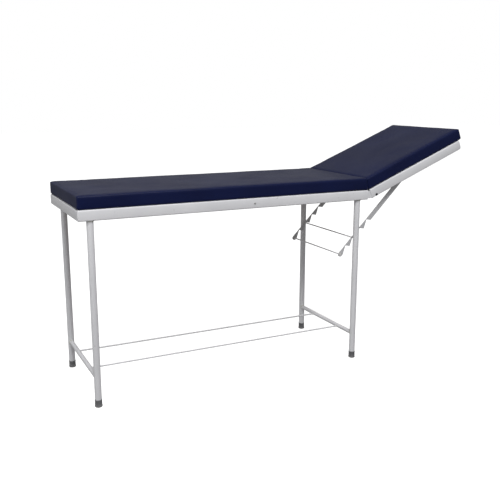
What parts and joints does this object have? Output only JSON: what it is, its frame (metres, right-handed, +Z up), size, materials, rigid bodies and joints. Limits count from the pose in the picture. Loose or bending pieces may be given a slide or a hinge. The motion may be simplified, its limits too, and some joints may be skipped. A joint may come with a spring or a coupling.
{
  "type": "examination couch",
  "caption": "Padded two-section examination couch on tubular steel legs, with a hinged backrest propped by a pair of notched arms that hook over a rod between the head legs",
  "frame": {"origin": "centre of the couch's bounding box at floor level, with the backrest in its third notch", "axes": "+X towards the head end along the couch, +Y across it away from the pictured side, +Z up"},
  "size_m": [1.8194, 0.506, 1.0436],
  "materials": {
    "paint": "satin",
    "vinyl": "satin",
    "plywood": "matte",
    "rubber": "matte",
    "zinc": "satin",
    "black_steel": "satin"
  },
  "bodies": {
    "base": {"catch_rod": "paint", "cross_bar_foot": "paint", "cross_bar_head": "paint", "foot_cap_foot_far": "rubber", "foot_cap_foot_near": "rubber", "foot_cap_head_far": "rubber", "foot_cap_head_near": "rubber", "hinge_cheek_far": "paint", "hinge_cheek_near": "paint", "hinge_pin_far": "zinc", "hinge_pin_near": "zinc", "hinge_seat_leaf_far": "paint", "hinge_seat_leaf_near": "paint", "leg_foot_far": "paint", "leg_foot_near": "paint", "leg_head_far": "paint", "leg_head_near": "paint", "seat_board": "plywood", "seat_brace_1": "paint", "seat_brace_2": "paint", "seat_pad": "vinyl", "seat_rail_far": "paint", "seat_rail_foot": "paint", "seat_rail_head": "paint", "seat_rail_near": "paint", "side_screw_far": "zinc", "side_screw_near": "zinc", "stretcher_far": "paint", "stretcher_near": "paint"},
    "backrest": {"back_board": "plywood", "back_pad": "vinyl", "back_rail_end": "paint", "back_rail_far": "paint", "back_rail_hinge": "paint", "back_rail_near": "paint", "back_strap_1": "paint", "back_strap_2": "paint", "hinge_back_leaf_far": "paint", "hinge_back_leaf_near": "paint", "pivot_bolt_far": "zinc", "pivot_bolt_near": "zinc", "pivot_nut_far": "zinc", "pivot_nut_near": "zinc", "pivot_washer_far": "zinc", "pivot_washer_near": "zinc", "stop_bolt_far": "black_steel", "stop_bolt_near": "black_steel", "stop_nut_far": "black_steel", "stop_nut_near": "black_steel"},
    "prop": {"link_rod": "paint", "prop_arm_far": "paint", "prop_arm_near": "paint"}
  },
  "joints": [
    {"name": "backrest_hinge", "type": "hinge", "parent": "base", "child": "backrest", "pos_m": [0.38728, 0, 0.781], "axis": [0, -1, 0], "range_deg": [-22, 36.5]},
    {"name": "prop_hinge", "type": "hinge", "parent": "backrest", "child": "prop", "pos_m": [0.64176, 0, 0.86656], "axis": [0, -1, 0], "range_deg": [-17, 10.5]}
  ],
  "couplings": [
    {"joint": "prop_hinge", "follows": "backrest_hinge", "ratio": -0.436}
  ]
}
